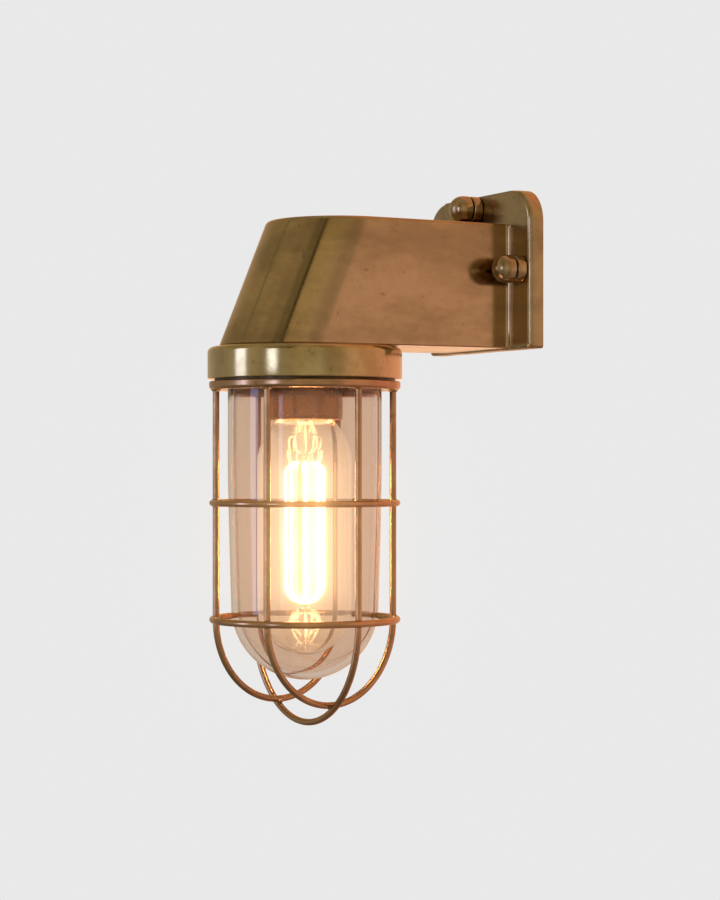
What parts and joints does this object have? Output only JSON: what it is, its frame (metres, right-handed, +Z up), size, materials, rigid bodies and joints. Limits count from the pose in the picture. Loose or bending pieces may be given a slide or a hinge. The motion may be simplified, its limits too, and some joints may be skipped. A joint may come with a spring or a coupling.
{
  "type": "ship lantern",
  "caption": "Wall-mounted brass ship lantern: arm on a back plate, round gallery, clear well glass in a screw-on wire guard, tubular filament bulb.",
  "frame": {"origin": "centre of the back plate's rear face, on the wall plane", "axes": "+Z up, +Y into the wall, -Y out along the arm, +X to the right when facing the wall"},
  "size_m": [0.103, 0.1533, 0.2647],
  "materials": {
    "cast_brass": "patinated satin cast brass, softly mottled",
    "gallery_brass": "aged polished brass, olive-gold",
    "nut_brass": "aged polished brass",
    "guard_brass": "aged brass wire, brown where handled",
    "terminal_brass": "plain brass",
    "steel": "zinc-plated steel",
    "holder_copper": "copper-brown metal, satin",
    "porcelain": "glazed porcelain",
    "rubber": "black rubber",
    "block_plastic": "moulded insulating plastic",
    "well_glass": "clear blown glass",
    "bulb_glass": "clear thin glass",
    "nickel": "nickel-plated",
    "black_glass": "black vitreous insulator",
    "filament": "glowing warm filament strip",
    "live_wire": "brown insulated wire",
    "neutral_wire": "blue insulated wire",
    "earth_wire": "green insulated wire"
  },
  "bodies": {
    "fixture": {"arm_casting": "cast_brass", "arm_screw_1": "steel", "arm_screw_2": "steel", "arm_screw_3": "steel", "arm_screw_4": "steel", "back_plate": "cast_brass", "bracket_screw_far": "steel", "bracket_screw_near": "steel", "cable_grommet": "rubber", "centre_contact": "nickel", "earth_screw": "terminal_brass", "earth_wire": "earth_wire", "gallery": "gallery_brass", "gallery_screw_1": "steel", "gallery_screw_2": "steel", "gallery_screw_3": "steel", "lampholder_bracket": "steel", "lampholder_cap": "holder_copper", "lampholder_insulator": "porcelain", "lampholder_skirt": "holder_copper", "live_wire": "live_wire", "neutral_wire": "neutral_wire", "screw_shell": "terminal_brass", "stud_far": "steel", "stud_near": "steel", "stud_top": "steel", "terminal_block": "block_plastic", "terminal_block_screw": "steel", "upper_gasket": "rubber", "wall_bracket": "steel"},
    "well": {"well_glass": "well_glass", "lower_gasket": "rubber"},
    "guard": {"guard_ring": "guard_brass", "hoop_centre": "guard_brass", "hoop_near": "guard_brass", "hoop_far": "guard_brass", "ring_mid": "guard_brass", "ring_lower": "guard_brass"},
    "bulb": {"bulb_cap": "nickel", "bulb_cap_insulator": "black_glass", "bulb_glass": "bulb_glass", "bulb_stem": "bulb_glass", "bulb_tip_contact": "nickel", "filament_1": "filament", "filament_2": "filament", "filament_3": "filament", "filament_4": "filament", "filament_5": "filament", "filament_6": "filament", "filament_7": "filament", "filament_8": "filament", "filament_support": "nickel"},
    "spacer_top": {"nut_spacer_top": "nut_brass"},
    "nut_top": {"dome_nut_top": "nut_brass"},
    "spacer_near": {"nut_spacer_near": "nut_brass"},
    "nut_near": {"dome_nut_near": "nut_brass"},
    "spacer_far": {"nut_spacer_far": "nut_brass"},
    "nut_far": {"dome_nut_far": "nut_brass"}
  },
  "joints": [
    {"name": "guard_lower", "type": "slide", "parent": "fixture", "child": "well", "axis": [0, 0, -1], "range_m": [0, 0.008]},
    {"name": "guard_turn", "type": "hinge", "parent": "well", "child": "guard", "pos_m": [0, -0.1055, -0.0515], "axis": [0, 0, -1], "range_deg": [0, 1440]},
    {"name": "bulb_turn", "type": "hinge", "parent": "fixture", "child": "bulb", "pos_m": [0, -0.1055, -0.066], "axis": [0, 0, -1], "range_deg": [0, 1440]},
    {"name": "nut_top_travel", "type": "slide", "parent": "fixture", "child": "spacer_top", "axis": [0, -1, 0], "range_m": [0, 0.0075]},
    {"name": "nut_top_turn", "type": "hinge", "parent": "spacer_top", "child": "nut_top", "pos_m": [0, -0.0155, 0.0328], "axis": [0, -1, 0], "range_deg": [0, 2700]},
    {"name": "nut_near_travel", "type": "slide", "parent": "fixture", "child": "spacer_near", "axis": [0, -1, 0], "range_m": [0, 0.0075]},
    {"name": "nut_near_turn", "type": "hinge", "parent": "spacer_near", "child": "nut_near", "pos_m": [0.0433, -0.0155, -0.0004], "axis": [0, -1, 0], "range_deg": [0, 2700]},
    {"name": "nut_far_travel", "type": "slide", "parent": "fixture", "child": "spacer_far", "axis": [0, -1, 0], "range_m": [0, 0.0075]},
    {"name": "nut_far_turn", "type": "hinge", "parent": "spacer_far", "child": "nut_far", "pos_m": [-0.0433, -0.0155, -0.0004], "axis": [0, -1, 0], "range_deg": [0, 2700]}
  ],
  "couplings": [
    {"joint": "guard_lower", "follows": "guard_turn", "m_per_rad": 0.00031831},
    {"joint": "nut_top_travel", "follows": "nut_top_turn", "m_per_rad": 0.00015915},
    {"joint": "nut_near_travel", "follows": "nut_near_turn", "m_per_rad": 0.00015915},
    {"joint": "nut_far_travel", "follows": "nut_far_turn", "m_per_rad": 0.00015915}
  ]
}
